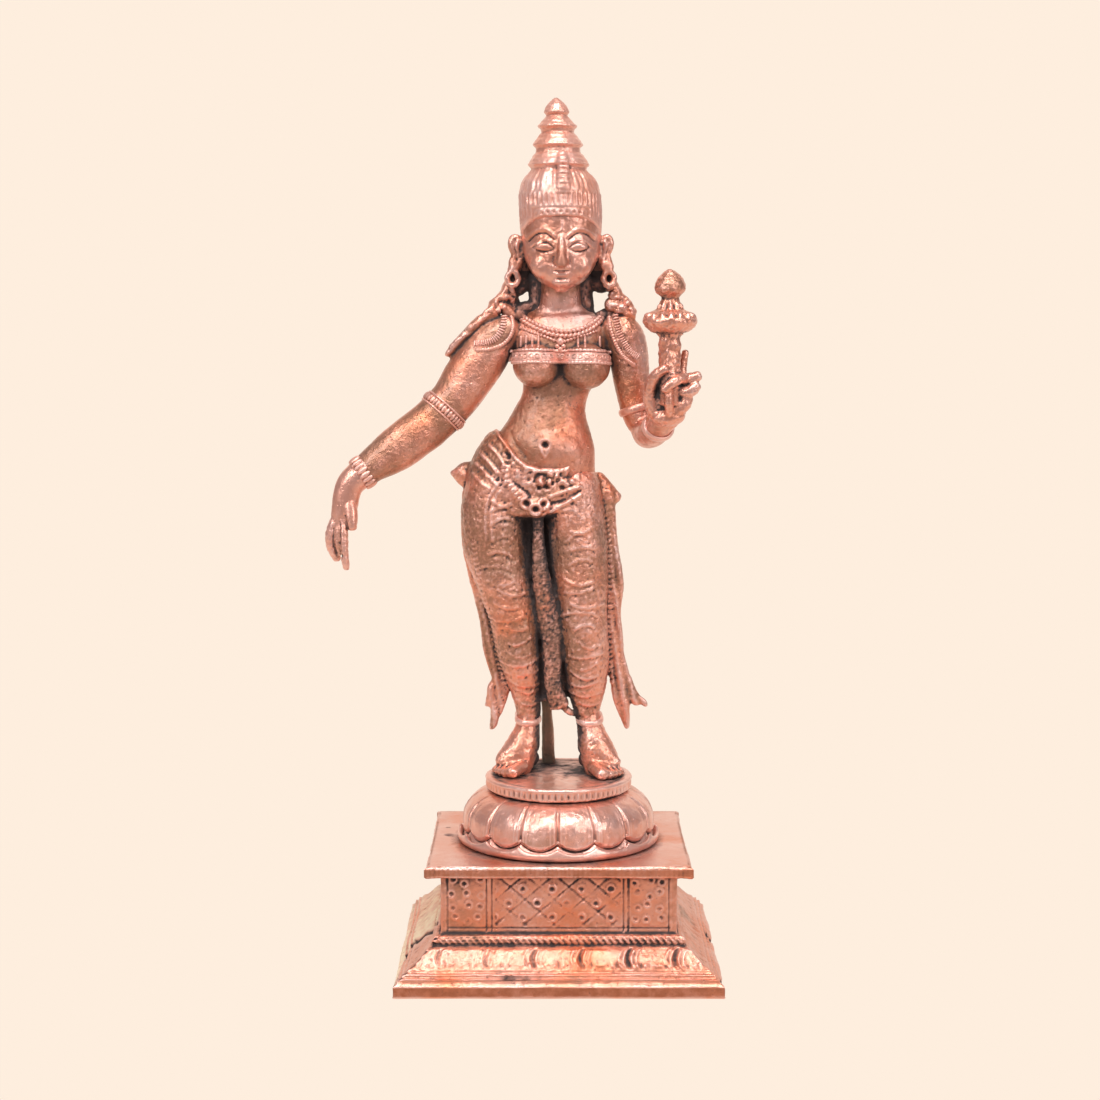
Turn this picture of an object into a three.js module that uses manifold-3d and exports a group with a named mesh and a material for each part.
// A small copper idol of a goddess, about 200 mm tall with its plinth, in millimetres.
// It faces -Y and stands with a bent hip on a round lotus seat. Its right arm hangs out to the side and its
// left hand holds a lotus. Figure and seat are one casting, and the oblong plinth under them is another.
import * as THREE from "three";
import { mergeVertices } from "three/addons/utils/BufferGeometryUtils.js";
import Module from "manifold-3d";

const wasm = await Module();
wasm.setup();
const { Manifold, Mesh } = wasm;

// Driving dimensions
const TOTAL_HEIGHT = 200;
const FOOT = { width: 74, depth: 64, height: 3 };
const DADO = { width: 53.5, depth: 46, bottom: 12 };
const SLAB = { width: 60.5, depth: 53, bottom: 25.6, top: 28.4 };
const SEAT_GAP = 0.3;
const SEAT = { petals: 16, rimRadius: 23.8, bulgeRadius: 22.2, discRadius: 16.9, discTop: 43.9 };
const HEAD_X = 0.4;
const HEAD_Y = 0.6;

const Y = new THREE.Vector3(0, 1, 0);
const Z = new THREE.Vector3(0, 0, 1);

// Solids

// The closed solid inside a three.js geometry.
function solidOf(geometry) {
  const bare = new THREE.BufferGeometry();
  bare.setAttribute("position", geometry.getAttribute("position"));
  if (geometry.index) bare.setIndex(geometry.index);
  const merged = mergeVertices(bare, 1e-4);
  return new Manifold(
    new Mesh({
      numProp: 3,
      vertProperties: new Float32Array(merged.attributes.position.array),
      triVerts: new Uint32Array(merged.index.array),
    }),
  );
}

// The solid of a closed set of triangles, turned the right way round if they face inwards.
function facingOut(points, index) {
  const geometry = new THREE.BufferGeometry().setFromPoints(points);
  geometry.setIndex(index);
  const made = solidOf(geometry);
  if (made.volume() > 0) return made;
  geometry.setIndex(index.toReversed());
  return solidOf(geometry);
}

const union = (...solids) => Manifold.union(solids.flat(Infinity));

// The three.js geometry of a solid.
function geometryOf(solid) {
  const mesh = solid.getMesh();
  const geometry = new THREE.BufferGeometry();
  geometry.setAttribute("position", new THREE.BufferAttribute(new Float32Array(mesh.vertProperties), 3));
  geometry.setIndex(new THREE.BufferAttribute(new Uint32Array(mesh.triVerts), 1));
  geometry.computeVertexNormals();
  return geometry;
}

// A box between two corners, turned about its own middle by tilt radians about X.
function block(low, high, tilt = 0) {
  const size = high.map((h, i) => h - low[i]);
  const geometry = new THREE.BoxGeometry(...size);
  geometry.rotateX(tilt);
  geometry.translate(...low.map((l, i) => (l + high[i]) / 2));
  return solidOf(geometry);
}

function ellipsoid(middle, radii, sides = 12, rows = 8) {
  const geometry = new THREE.SphereGeometry(1, sides, rows);
  geometry.rotateX(Math.PI / 2);
  geometry.scale(...radii);
  geometry.translate(...middle);
  return solidOf(geometry);
}

// A turned piece standing on +Z at (x, y), from [radius, height] pairs that rise from axis to axis.
function turned(x, y, profile, sides) {
  const geometry = new THREE.LatheGeometry(profile.map(([r, z]) => new THREE.Vector2(r, z)), sides);
  geometry.rotateX(Math.PI / 2);
  geometry.translate(x, y, 0);
  return solidOf(geometry);
}

// Rings [x, y, z, half width, half depth], spread smoothly over a number of steps.
function spread(rings, steps) {
  const path = new THREE.CatmullRomCurve3(rings.map((r) => new THREE.Vector3(r[0], r[1], r[2])));
  const sizes = new THREE.CatmullRomCurve3(rings.map((r) => new THREE.Vector3(r[3], r[4], 0)));
  return Array.from({ length: steps + 1 }, (_, i) => {
    const at = path.getPoint(i / steps);
    const size = sizes.getPoint(i / steps);
    return [at.x, at.y, at.z, size.x, size.y];
  });
}

// A closed body through rings. Each ring lies flat if `level`, and else across the line of middles, with its
// depth nearest to `through`. A round end adds a small ring and a tip beyond the last one.
function loft(rings, sides, { through = Y, round = 0.6, level = false } = {}) {
  const middles = rings.map((r) => new THREE.Vector3(r[0], r[1], r[2]));
  const last = rings.length - 1;
  const rise = Math.sign(middles[last].z - middles[0].z);
  const along = (i) =>
    level
      ? Z.clone().multiplyScalar(rise)
      : middles[Math.min(i + 1, last)].clone().sub(middles[Math.max(i - 1, 0)]).normalize();
  const points = [];
  const ring = (i, scale, push) => {
    const ahead = along(i);
    const deep = through.clone().addScaledVector(ahead, -through.dot(ahead)).normalize();
    const wide = deep.clone().cross(ahead);
    const middle = middles[i].clone().addScaledVector(ahead, push);
    for (let k = 0; k < sides; k++) {
      const turn = (2 * Math.PI * k) / sides;
      points.push(
        middle
          .clone()
          .addScaledVector(wide, Math.cos(turn) * rings[i][3] * scale)
          .addScaledVector(deep, Math.sin(turn) * rings[i][4] * scale),
      );
    }
  };
  const bulge = (i) => Math.min(rings[i][3], rings[i][4]) * round;
  let rows = 0;
  const addRing = (...args) => (ring(...args), rows++);
  if (round) addRing(0, 0.7, -bulge(0) * 0.7);
  rings.forEach((_, i) => addRing(i, 1, 0));
  if (round) addRing(last, 0.7, bulge(last) * 0.7);
  const tips = [
    middles[0].clone().addScaledVector(along(0), -bulge(0)),
    middles[last].clone().addScaledVector(along(last), bulge(last)),
  ];
  const first = points.length;
  points.push(...tips);
  const index = [];
  for (let j = 0; j < rows - 1; j++)
    for (let k = 0; k < sides; k++) {
      const a = j * sides + k;
      const b = j * sides + ((k + 1) % sides);
      index.push(a, b + sides, b, a, a + sides, b + sides);
    }
  for (let k = 0; k < sides; k++) {
    const next = (k + 1) % sides;
    index.push(first, k, next);
    index.push(first + 1, (rows - 1) * sides + next, (rows - 1) * sides + k);
  }
  return facingOut(points, index);
}

// A closed ring of rope or band: `at` gives a point for each turn from 0 to 1.
function hoop(at, steps, radius, sides = 5) {
  const points = [];
  const index = [];
  for (let i = 0; i < steps; i++) {
    const ahead = at((i + 1) / steps).sub(at((i - 1) / steps)).normalize();
    const out = ahead.clone().cross(Z).normalize();
    const up = out.clone().cross(ahead);
    for (let k = 0; k < sides; k++) {
      const turn = (2 * Math.PI * k) / sides;
      points.push(
        at(i / steps).addScaledVector(out, Math.cos(turn) * radius).addScaledVector(up, Math.sin(turn) * radius),
      );
      const a = i * sides + k;
      const b = i * sides + ((k + 1) % sides);
      const [c, d] = [a, b].map((v) => (v + sides) % (steps * sides));
      index.push(a, b, c, b, d, c);
    }
  }
  return facingOut(points, index);
}

// Plinth: a moulded oblong block

// An oblong body through levels [half width, half depth, z].
function oblong(levels) {
  const corners = [[-1, -1], [1, -1], [1, 1], [-1, 1]];
  const points = levels.flatMap(([w, d, z]) => corners.map(([i, j]) => new THREE.Vector3(i * w, j * d, z)));
  const index = [0, 2, 1, 0, 3, 2];
  for (let row = 0; row < levels.length - 1; row++)
    for (let k = 0; k < 4; k++) {
      const a = row * 4 + k;
      const b = row * 4 + ((k + 1) % 4);
      index.push(a, b, b + 4, a, b + 4, a + 4);
    }
  const top = (levels.length - 1) * 4;
  index.push(top, top + 1, top + 2, top, top + 2, top + 3);
  return facingOut(points, index);
}

function makePlinth() {
  const [w, d] = [FOOT.width / 2, FOOT.depth / 2];
  const [dw, dd] = [DADO.width / 2, DADO.depth / 2];
  const [sw, sd] = [SLAB.width / 2, SLAB.depth / 2];
  const rope = { low: 10.2, high: 12, out: 1.7 };
  const body = oblong([
    [w, d, 0],
    [w, d, FOOT.height],
    [w - 1, d - 0.8, 3.9],
    [w - 1.2, d - 1, 4.7],
    [w - 2.2, d - 1.7, 4.8],
    [w - 2.4, d - 1.9, 5.7],
    [w - 3.6, d - 2.8, 6.0],
    [w - 5.2, d - 4.0, 7.6],
    [dw + rope.out + 1.2, dd + rope.out + 1, rope.low - 0.4],
    [dw + rope.out, dd + rope.out, rope.low],
    [dw + rope.out, dd + rope.out, rope.high - 0.4],
    [dw + rope.out - 0.7, dd + rope.out - 0.7, rope.high],
    [dw, dd, rope.high + 0.1],
    [dw, dd, SLAB.bottom],
    [sw - 0.8, sd - 0.8, SLAB.bottom + 0.1],
    [sw, sd, SLAB.bottom + 1],
    [sw, sd, SLAB.top - 0.3],
    [sw - 0.3, sd - 0.3, SLAB.top],
  ]);
  const petals = petalRow(w - 4.4, d - 3.4);
  return union(body, petals).subtract(panels(dw, dd));
}

// The row of broad, plump lotus petals on the plinth's slope, on all four sides.
function petalRow(halfWidth, halfDepth) {
  const pitch = 10.4;
  const petals = [];
  const lay = (x, y, turn) => {
    const geometry = new THREE.SphereGeometry(1, 6, 3);
    geometry.rotateX(Math.PI / 2);
    geometry.scale(pitch * 0.46, 1.5, 2.9);
    geometry.rotateX(-0.75);
    geometry.rotateZ(turn);
    geometry.translate(x, y, 7.5);
    petals.push(solidOf(geometry));
  };
  const along = (half) => {
    const count = Math.floor((2 * half) / pitch);
    return Array.from({ length: count }, (_, i) => (i - (count - 1) / 2) * pitch);
  };
  for (const x of along(halfWidth - 2)) {
    lay(x, -halfDepth + 0.9, 0);
    lay(x, halfDepth - 0.9, Math.PI);
  }
  for (const y of along(halfDepth - 2)) {
    lay(halfWidth - 1.2, y, Math.PI / 2);
    lay(-halfWidth + 1.2, y, -Math.PI / 2);
  }
  return petals;
}

// Shallow sunk panels on the dado: a wide one between two narrow ones in front and behind, one on each side.
function panels(dw, dd) {
  const sunk = 0.35;
  const [low, high] = [DADO.bottom + 1.4, SLAB.bottom - 1];
  const post = { inner: 15.2, outer: 16.6, edge: 1.9 };
  const cuts = [];
  const spans = [
    [-dw + post.edge, -post.outer],
    [-post.inner, post.inner],
    [post.outer, dw - post.edge],
  ];
  for (const y of [-dd, dd]) for (const [a, b] of spans) cuts.push(block([a, y - sunk, low], [b, y + sunk, high]));
  const reach = dd - post.edge;
  for (const x of [-dw, dw]) cuts.push(block([x - sunk, -reach, low], [x + sunk, reach, high]));
  return union(cuts);
}

// Lotus seat: a ring of drooping petals over a scalloped rim, with the round disc that carries the feet

// The radius and height of the seat's surface at a row of its profile and a turn round it.
function seatPoint([radius, z, lobe], turn) {
  const phase = Math.abs(Math.sin((turn * SEAT.petals) / 2));
  const between = 1 - phase ** 0.6;
  const r = radius - lobe * between;
  return new THREE.Vector3(r * Math.cos(turn), r * Math.sin(turn), z);
}

function makeSeat() {
  const floor = SLAB.top + SEAT_GAP;
  const { rimRadius, bulgeRadius, discRadius, discTop, petals } = SEAT;
  const rows = [
    [rimRadius - 0.3, floor, 0],
    [rimRadius, floor + 1.4, 0],
    [rimRadius - 0.7, floor + 2.7, -0.4],
    [bulgeRadius + 0.5, floor + 2.3, 0.9],
    [bulgeRadius + 0.1, floor + 4.2, 0.8],
    [bulgeRadius - 1.2, floor + 7.4, 0.7],
    [bulgeRadius - 3.3, floor + 9.8, 0.5],
    [discRadius - 1.3, floor + 11.4, 0.2],
    [discRadius - 0.5, floor + 12.1, 0],
    [discRadius, floor + 13.4, 0],
    [discRadius - 0.1, discTop - 0.7, 0],
    [discRadius - 0.9, discTop, 0],
  ];
  const sides = petals * 3;
  const points = rows.flatMap((row) =>
    Array.from({ length: sides }, (_, k) => seatPoint(row, (2 * Math.PI * k) / sides)),
  );
  const index = [];
  for (let j = 0; j < rows.length - 1; j++)
    for (let k = 0; k < sides; k++) {
      const a = j * sides + k;
      const b = j * sides + ((k + 1) % sides);
      index.push(a, b, b + sides, a, b + sides, a + sides);
    }
  const foot = points.length;
  points.push(new THREE.Vector3(0, 0, floor), new THREE.Vector3(0, 0, discTop));
  for (let k = 0; k < sides; k++) {
    const next = (k + 1) % sides;
    index.push(foot, next, k);
    index.push(foot + 1, (rows.length - 1) * sides + k, (rows.length - 1) * sides + next);
  }
  return facingOut(points, index);
}

// Legs in their clinging wrap, and the cloths that hang beside and between them

const HIP_RINGS = [
  [-4.0, 3.2, 122.6, 11.4, 7.3],
  [-4.6, 3.4, 120, 12.7, 8.0],
  [-5.6, 3.5, 117, 13.8, 8.5],
  [-6.3, 3.5, 113, 15.1, 8.8],
  [-6.3, 3.3, 109, 16.0, 8.7],
  [-6.1, 3.1, 105.5, 16.6, 8.2],
];
const RIGHT_LEG = [
  [-14.4, 2.8, 112, 7.2, 7.8],
  [-15.3, 2.6, 105, 7.5, 7.9],
  [-15.2, 2.3, 98, 7.0, 7.5],
  [-14.1, 1.9, 92, 6.2, 6.9],
  [-12.3, 1.6, 86, 5.4, 6.2],
  [-10.6, 1.5, 80, 5.0, 5.7],
  [-9.6, 2.3, 74, 5.1, 5.7],
  [-8.6, 3.0, 69, 4.5, 5.2],
  [-7.9, 3.8, 64, 3.6, 4.3],
  [-7.1, 4.6, 59, 3.0, 3.5],
  [-6.8, 5.2, 55, 2.8, 3.2],
  [-6.9, 5.4, 50, 2.8, 3.4],
];
const LEFT_LEG = [
  [3.0, 2.8, 112, 6.6, 7.6],
  [3.7, 2.6, 105, 6.9, 7.7],
  [4.7, 2.3, 98, 6.7, 7.3],
  [5.3, 1.9, 92, 6.3, 6.8],
  [5.8, 1.6, 86, 5.8, 6.2],
  [6.1, 1.5, 80, 5.3, 5.7],
  [6.4, 2.3, 74, 5.3, 5.7],
  [6.6, 2.8, 69, 5.1, 5.3],
  [6.6, 3.4, 64, 4.2, 4.5],
  [6.7, 3.8, 59, 3.2, 3.6],
  [6.9, 4.2, 55, 2.8, 3.2],
  [7.2, 4.4, 50, 2.8, 3.4],
];

// The wrap clings to the leg in shallow ring folds: every other ring stands out.
const folded = (rings, steps) =>
  spread(rings, steps).map(([x, y, z, w, d], i) => {
    const fold = i % 2 && z < 108 && z > 56 ? 0.45 : -0.1;
    return [x, y, z, w + fold, d + fold];
  });

function makeWrap() {
  const hips = loft(spread(HIP_RINGS, 4), 12, { round: 0.3 });
  // The wrap dips below the belly: its top is cut on a slope that rises to the back.
  const belly = block([-30, -30, 0], [30, 30, 20], 0.5).translate([0, -4.6, 119.2]);
  const legs = [RIGHT_LEG, LEFT_LEG].map((rings) => loft(folded(rings, 14), 9));
  return union(hips.subtract(belly), legs, makeHangings());
}

function makeHangings() {
  const middleFold = loft(
    [
      [-4.9, -2.0, 106, 1.0, 1.6],
      [-4.6, -1.6, 97, 1.1, 1.8],
      [-3.6, -1.2, 90, 1.6, 2.0],
      [-2.6, -0.8, 80, 2.3, 2.2],
      [-1.9, -0.2, 71, 1.9, 2.2],
      [-0.8, 0.6, 64, 2.0, 2.0],
      [0.2, 1.4, 59.5, 3.3, 1.6],
    ],
    6,
    { round: 0 },
  );
  const backCloth = loft(
    [
      [-5.5, 4.8, 106, 9, 4.6],
      [-4.0, 4.6, 92, 7.5, 4.4],
      [-2.2, 4.6, 78, 6.5, 4.2],
      [-1.0, 5.0, 68, 6.2, 3.6],
      [-0.3, 5.6, 61.4, 5.6, 3.0],
    ],
    7,
    { round: 0 },
  );
  return [middleFold, backCloth, makeSashes()];
}

// Each side sash hangs from a knot on the hip and ends in a long tail and a short one turned outwards.
function makeSashes() {
  const sash = (...rings) => loft(spread(rings, 7), 5, { round: 0.4 });
  const tail = (...rings) => loft(rings, 4, { round: 0.5 });
  return [
    sash(
      [-20.3, 4.6, 110, 2.2, 2.4],
      [-20.2, 4.6, 100, 2.5, 2.4],
      [-18.2, 4.6, 90, 2.6, 2.2],
      [-16.5, 4.8, 80, 2.3, 1.9],
      [-15.4, 5.0, 72, 2.3, 1.7],
      [-13.8, 5.2, 63.5, 2.1, 1.5],
      [-14.5, 5.2, 58.5, 1.7, 1.2],
      [-15.9, 4.9, 53.4, 0.6, 0.8],
    ),
    tail([-14.2, 5.2, 64, 1.8, 1.3], [-16.0, 5.4, 60.6, 1.5, 1.1], [-16.7, 5.4, 59.0, 0.7, 0.8]),
    sash(
      [11.0, 4.6, 110, 2.1, 2.2],
      [11.5, 4.6, 100, 2.2, 2.2],
      [12.6, 4.6, 90, 2.5, 2.1],
      [12.6, 4.8, 80, 2.2, 1.9],
      [13.2, 5.0, 72, 2.1, 1.7],
      [14.6, 5.2, 63.5, 2.4, 1.5],
      [15.3, 5.2, 58.5, 1.7, 1.2],
      [16.2, 4.9, 53.6, 0.7, 0.8],
    ),
    tail([15.2, 5.2, 64, 2.0, 1.3], [18.0, 5.4, 60.8, 1.6, 1.1], [20.6, 5.4, 59.4, 0.6, 0.7]),
    tail([-19.6, 5.0, 113.8, 3.8, 2.6], [-22.4, 5.0, 114.0, 2.8, 2.1], [-24.6, 5.0, 114.3, 0.9, 1.0]),
    tail([8.6, 5.0, 110.4, 3.0, 2.4], [11.6, 5.0, 109.6, 2.5, 2.1], [14.2, 5.0, 108.6, 1.1, 1.1]),
  ];
}

// Feet

// A foot from heel to toes, its five toes smaller outwards from the big one. `side` is -1 for the right foot.
function makeFoot(side, heel, ball, big) {
  const sole = SEAT.discTop;
  const way = new THREE.Vector3(ball[0] - heel[0], ball[1] - heel[1], 0).normalize();
  const across = new THREE.Vector3(-way.y, way.x, 0).multiplyScalar(-side);
  const at = (t, z) => [heel[0] + (ball[0] - heel[0]) * t, heel[1] + (ball[1] - heel[1]) * t, sole + z];
  const body = loft(
    [
      [...at(0, 1.7), 1.9, 1.9],
      [...at(0.22, 2.9), 2.5, 3.2],
      [...at(0.5, 3.0), 2.7, 3.2],
      [...at(0.78, 1.9), 3.2, 2.2],
      [...at(1, 1.2), 3.4, 1.5],
    ],
    7,
    { through: Z, round: 0.4 },
  );
  const toes = [2.5, 1.15, 0, -1.15, -2.2].map((offset, i) => {
    const size = big - i * 0.16;
    const reach = 1.9 - i * 0.34;
    const root = new THREE.Vector3(...at(1, size)).addScaledVector(across, offset * 1.05);
    const tip = root.clone().addScaledVector(way, reach);
    return ellipsoid([tip.x, tip.y, tip.z], [size, size * 1.15, size], 5, 3);
  });
  return union(body, toes).subtract(block([-40, -40, sole - 10], [40, 40, sole - 0.4]));
}

// The thin bar behind the feet, a leftover runner of the casting, from the hem to the seat.
const makeStrut = () =>
  loft(
    [
      [-3.0, 6.6, 67, 1.7, 1.6],
      [-2.9, 10.2, 57, 1.5, 1.4],
      [-2.5, 13.2, SEAT.discTop - 0.6, 1.9, 1.7],
    ],
    6,
    { round: 0.1 },
  );

// Trunk, with the jewels and the breast band

const TRUNK = [
  [-5.6, 3.4, 112, 12.6, 7.4],
  [-4.3, 2.6, 118, 11.6, 7.7],
  [-3.3, 2.6, 123, 10.2, 7.0],
  [-2.3, 3.1, 127, 8.2, 6.0],
  [-1.3, 3.5, 131, 7.3, 5.3],
  [-0.4, 3.5, 135, 8.0, 5.4],
  [0.3, 3.4, 140, 10.2, 5.8],
  [0.6, 3.6, 145, 11.5, 5.6],
  [0.6, 3.9, 149, 11.0, 4.9],
  [0.5, 4.0, 151.6, 7.9, 4.2],
  [0.4, 3.7, 154, 4.9, 3.9],
  [0.4, 3.2, 157, 4.4, 3.9],
  [0.4, 2.8, 161, 4.2, 4.0],
];
const BREASTS = [
  [-5.3, -1.9, 139.6, 5.5, 5.2, 5.1],
  [6.2, -1.9, 139.4, 5.7, 5.3, 5.3],
];

// An oval ring of band or cord round the body, squared a little, which sinks by `drop` in front.
const girth = (middle, [wide, deep], drop, thick, steps = 12, square = 0.8) =>
  hoop((turn) => {
    const [sine, cosine] = [Math.sin(2 * Math.PI * turn), -Math.cos(2 * Math.PI * turn)];
    const squared = (v) => Math.sign(v) * Math.abs(v) ** square;
    return new THREE.Vector3(wide * squared(sine), deep * squared(cosine), (drop * (cosine - 1)) / 2).add(middle);
  }, steps, thick, 4);

function makeTrunk() {
  const body = loft(spread(TRUNK, 9), 11, { round: 0.2 });
  const breasts = BREASTS.map(([x, y, z, ...radii]) => ellipsoid([x, y, z], radii, 10, 6));
  const band = girth(new THREE.Vector3(0.4, 1.2, 141.4), [11.0, 7.4], 0, 1.4, 12, 0.7);
  const girdle = girth(new THREE.Vector3(-5.8, 3.4, 112), [14.6, 8.1], 6.4, 1.9);
  const necklace = girth(new THREE.Vector3(0.4, 3.2, 151.0), [8.8, 5.4], 3.4, 1.0, 12);
  const pendant = ellipsoid([0.4, -2.6, 145.4], [1.5, 1.0, 1.4], 5, 4);
  const clasp = ellipsoid([-4.9, -4.9, 106.6], [3.4, 1.9, 2.4], 7, 5);
  return union(body, breasts, band, girdle, necklace, pendant, clasp);
}

// Head and tall crown

const HEAD = [
  [157.4, -1.7, 2.4, 2.9],
  [158.6, -0.9, 4.7, 5.0],
  [160.6, -0.1, 6.5, 6.6],
  [163.4, 0.4, 7.7, 7.6],
  [167, 0.8, 8.5, 8.2],
  [171, 1.0, 8.9, 8.5],
  [175, 1.1, 8.8, 8.4],
  [179, 1.0, 8.4, 8.0],
  [182, 0.7, 7.3, 7.1],
  [184.4, 0.4, 6.0, 6.0],
];

function makeHead() {
  const rings = HEAD.map(([z, y, w, d]) => [HEAD_X, y, z, w, d]);
  const skull = loft(spread(rings, 8), 11, { round: 0.5, level: true });
  const nose = loft(
    [
      [HEAD_X, -7.0, 169.2, 0.8, 0.9],
      [HEAD_X, -7.9, 165, 1.0, 1.1],
      [HEAD_X, -8.3, 162.6, 1.5, 1.4],
    ],
    6,
    { round: 0.5 },
  );
  const brow = hoop((turn) => {
    const a = turn * 2 * Math.PI;
    const lift = 1.6 * (1 - Math.cos(a)) * 0.5;
    return new THREE.Vector3(HEAD_X + 8.7 * Math.sin(a), HEAD_Y + 8.3 * Math.cos(a), 172.6 + lift);
  }, 10, 1.25, 4);
  const ears = [-1, 1].map((side) => {
    const x = (reach) => HEAD_X + side * reach;
    return union(
      loft(
        [
          [x(10.6), 2.4, 168.4, 1.5, 1.2],
          [x(10.7), 2.0, 165, 1.2, 1.2],
          [x(11.0), 1.6, 161.6, 1.0, 1.0],
        ],
        5,
      ),
      makeEarring(side),
      makeLocks(side),
    );
  });
  const eyes = [-3.5, 3.5].map((x) => ellipsoid([HEAD_X + x, -6.3, 166.6], [1.9, 1.2, 0.9], 5, 4));
  const lips = ellipsoid([HEAD_X, -6.4, 160.9], [1.9, 1.0, 0.8], 5, 4);
  return union(skull, nose, eyes, lips, brow, ears, makeNape(), makeCrown());
}

// A hollow ear ring under the lobe.
function makeEarring(side) {
  const geometry = new THREE.TorusGeometry(1.7, 0.75, 4, 7);
  geometry.rotateX(Math.PI / 2);
  geometry.rotateZ(side * 0.5);
  geometry.translate(HEAD_X + side * 11.2, 0.8, 159.3);
  return solidOf(geometry);
}

// Curled locks that fall from behind the ear to the shoulder, leaving a hole beside the neck.
function makeLocks(side) {
  const x = (reach) => HEAD_X + side * reach;
  const outer = [
    [x(9.4), 3.2, 162, 1.8, 2.2],
    [x(11.2), 2.8, 157, 1.9, 2.0],
    [x(13.4), 2.8, 153.6, 2.2, 1.9],
    [x(16.2), 3.2, 150.6, 1.8, 1.6],
  ];
  const inner = [
    [x(7.4), 4.6, 162, 1.8, 2.2],
    [x(6.0), 5.0, 157, 1.9, 2.2],
    [x(6.4), 4.8, 150.6, 2.4, 2.0],
  ];
  return union(loft(outer, 5), loft(inner, 5));
}

// The knot of hair on the nape, plain behind.
const makeNape = () =>
  loft(
    [
      [HEAD_X, 6.6, 167, 5.2, 2.6],
      [HEAD_X, 7.2, 159, 5.6, 2.8],
      [HEAD_X, 6.4, 150, 4.4, 2.2],
    ],
    6,
  );

function makeCrown() {
  const tier = (r, z, thick) => [
    [r - 1.0, z - thick],
    [r, z - thick * 0.1],
    [r - 1.2, z + thick],
  ];
  const profile = [
    [0, 182],
    [6.2, 182],
    [6.1, 184],
    ...tier(6.9, 185.9, 1.5),
    [4.9, 188.7],
    ...tier(5.6, 190.4, 1.1),
    [3.9, 192.5],
    ...tier(4.3, 193.9, 0.9),
    [2.5, 195.5],
    ...tier(3.0, 196.9, 0.8),
    [1.4, 199.1],
    [0, TOTAL_HEIGHT],
  ];
  const crest = loft(
    [
      [0.9, -7.2, 179.6, 1.5, 1.4],
      [0.9, -6.6, 184, 1.3, 1.6],
      [0.7, -5.4, 188, 0.8, 1.2],
    ],
    5,
  );
  return union(turned(-0.2, 0.3, profile, 10), crest);
}

// Arms and hands

const RIGHT_ARM = [
  [-11.5, 3.4, 148.0, 3.6, 4.0],
  [-15.2, 3.1, 144.6, 5.4, 4.9],
  [-18.6, 2.6, 139.8, 5.9, 4.9],
  [-22.0, 2.0, 134.7, 5.7, 4.7],
  [-25.4, 1.4, 130.2, 5.3, 4.4],
  [-29.2, 0.6, 126.5, 5.3, 4.3],
  [-33.6, -0.5, 123.0, 5.4, 4.3],
  [-38.2, -1.6, 119.7, 5.2, 4.1],
  [-42.4, -2.5, 116.8, 4.4, 3.6],
  [-45.8, -3.1, 114.4, 3.6, 3.0],
  [-47.9, -3.4, 112.6, 3.3, 2.6],
  [-49.1, -3.6, 110.4, 3.0, 2.2],
  [-49.4, -3.7, 107.6, 2.9, 1.9],
  [-49.8, -3.7, 104.6, 2.9, 1.7],
  [-50.6, -3.6, 102.0, 2.6, 1.4],
];
const LEFT_ARM = [
  [12.4, 3.5, 148.8, 3.6, 3.9],
  [15.0, 3.3, 145.8, 4.7, 4.6],
  [16.1, 3.2, 141.0, 4.4, 4.4],
  [16.8, 3.1, 136.0, 3.9, 4.0],
  [17.8, 2.8, 131.2, 3.7, 3.7],
  [19.2, 2.0, 127.0, 3.6, 3.7],
];
const LEFT_FOREARM = [
  [19.2, 3.6, 125.6, 3.0, 3.2],
  [20.2, -0.4, 124.6, 3.5, 3.4],
  [21.4, -4.2, 125.2, 3.3, 3.1],
  [22.6, -8.0, 126.6, 2.9, 2.6],
  [23.4, -10.2, 128.2, 2.8, 2.1],
];

// An arm's rings, with those where it wears a bracelet standing out.
const banded = (rings, steps, bands) =>
  spread(rings, steps).map(([x, y, z, w, d], i) => {
    const band = bands.includes(i) ? 0.55 : 0;
    return [x, y, z, w + band, d + band];
  });

const finger = (radius, ...points) =>
  loft(points.map((p, i) => [...p, radius - i * 0.1, radius - i * 0.1]), 5, { round: 0.8 });

function makeRightArm() {
  return union(
    loft(banded(RIGHT_ARM, 14, [4, 9]), 8),
    finger(1.05, [-49.6, -4.1, 103.4], [-50.0, -4.6, 98], [-49.3, -4.4, 93.2]),
    finger(1.05, [-50.6, -3.8, 103.2], [-51.2, -4.4, 98.4], [-50.6, -3.6, 95.0]),
    finger(1.0, [-51.6, -3.4, 102.8], [-52.7, -3.6, 98.8], [-51.7, -2.8, 95.2]),
    finger(0.95, [-52.2, -2.8, 102.6], [-53.1, -2.6, 99.4], [-52.4, -1.8, 96.6]),
    finger(1.3, [-48.0, -4.2, 107.4], [-47.4, -5.2, 104], [-47.3, -5.4, 102.2]),
    makeShoulderLock(),
  );
}

// The end of a lock of hair that lies over the shoulder and stands free in a point.
const makeShoulderLock = () =>
  loft(
    [
      [-18.6, 2.0, 149.0, 1.2, 2.4],
      [-22.2, 1.8, 145.2, 1.2, 2.2],
      [-24.9, 1.6, 142.4, 0.7, 1.0],
    ],
    6,
  );

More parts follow.
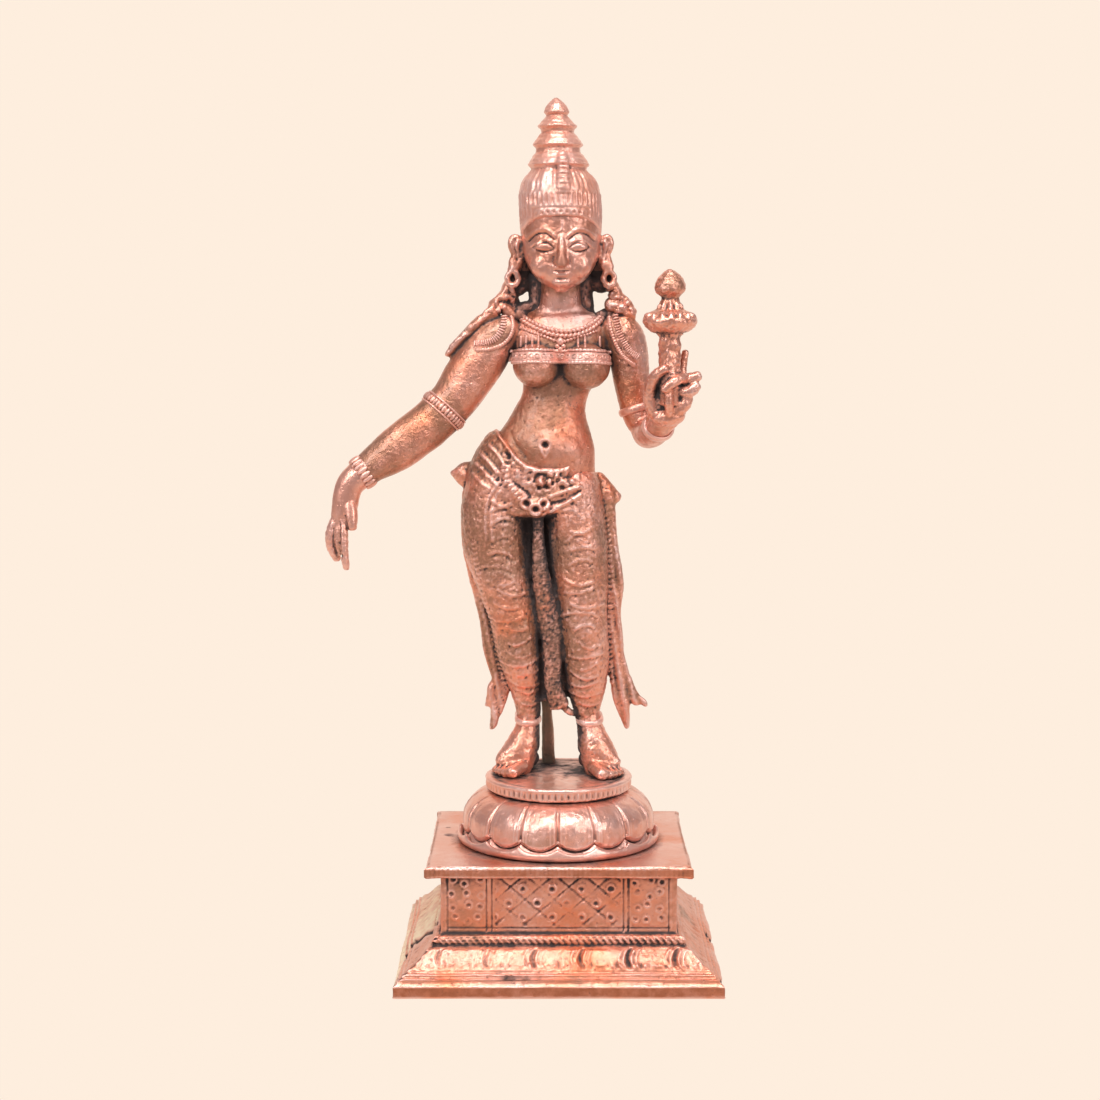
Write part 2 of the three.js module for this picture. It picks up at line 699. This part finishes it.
function makeLeftArm() {
  const palm = loft(
    [
      [23.2, -10.6, 127.4, 2.8, 2.0],
      [24.2, -11.4, 130.4, 4.2, 2.0],
      [24.8, -11.6, 133.6, 4.3, 1.8],
    ],
    7,
    { round: 0.5 },
  );
  return union(
    loft(banded(LEFT_ARM, 7, [5]), 8),
    loft(banded(LEFT_FOREARM, 5, [3]), 8, { through: Z }),
    palm,
    finger(1.3, [20.9, -11.8, 130.4], [20.2, -12.8, 135.2], [22.0, -13.8, 138.0], [24.2, -14.2, 138.8]),
    finger(1.1, [27.6, -11.2, 134.0], [28.6, -10.4, 138.4], [28.4, -10.8, 142.0]),
    finger(1.2, [26.6, -12.2, 132.8], [27.2, -14.8, 135.4], [24.6, -15.6, 134.6]),
    finger(1.1, [27.6, -12.0, 131.0], [29.4, -14.2, 133.0], [27.8, -15.4, 134.6]),
    finger(1.0, [28.0, -11.8, 131.2], [30.4, -12.6, 134.2], [31.6, -12.8, 136.6]),
    makeFlower(),
  );
}

// The lotus on its thick stalk: a flat open ring of petals with a bud above.
const makeFlower = () =>
  turned(24.6, -12.2, [
    [0, 135],
    [2.2, 135.2],
    [2.3, 147.4],
    [3.4, 147.8],
    [5.7, 148.8],
    [6.1, 150.0],
    [5.6, 151.2],
    [3.2, 152.6],
    [2.4, 153.6],
    [2.7, 154.8],
    [2.5, 155.3],
    [3.3, 156.3],
    [3.5, 157.5],
    [2.8, 159.3],
    [1.5, 160.7],
    [0, 161.4],
  ], 10);

// The two castings

function makeGoddess() {
  return union(
    makeSeat(),
    makeWrap(),
    makeFoot(-1, [-6.3, 7.6], [-11.7, -0.4], 1.25),
    makeFoot(1, [6.4, 6.6], [11.0, -3.0], 1.25),
    makeStrut(),
    makeTrunk(),
    makeHead(),
    makeRightArm(),
    makeLeftArm(),
  );
}

const copper = new THREE.MeshStandardMaterial({ color: 0xc9795c, roughness: 0.38, metalness: 1 });
const wornCopper = new THREE.MeshStandardMaterial({ color: 0xc47c5e, roughness: 0.45, metalness: 1 });

const goddess = new THREE.Mesh(geometryOf(makeGoddess()), copper);
goddess.name = "goddess_on_lotus_seat";
const plinth = new THREE.Mesh(geometryOf(makePlinth()), wornCopper);
plinth.name = "plinth";

const idol = new THREE.Group();
idol.add(plinth, goddess);

export default idol;
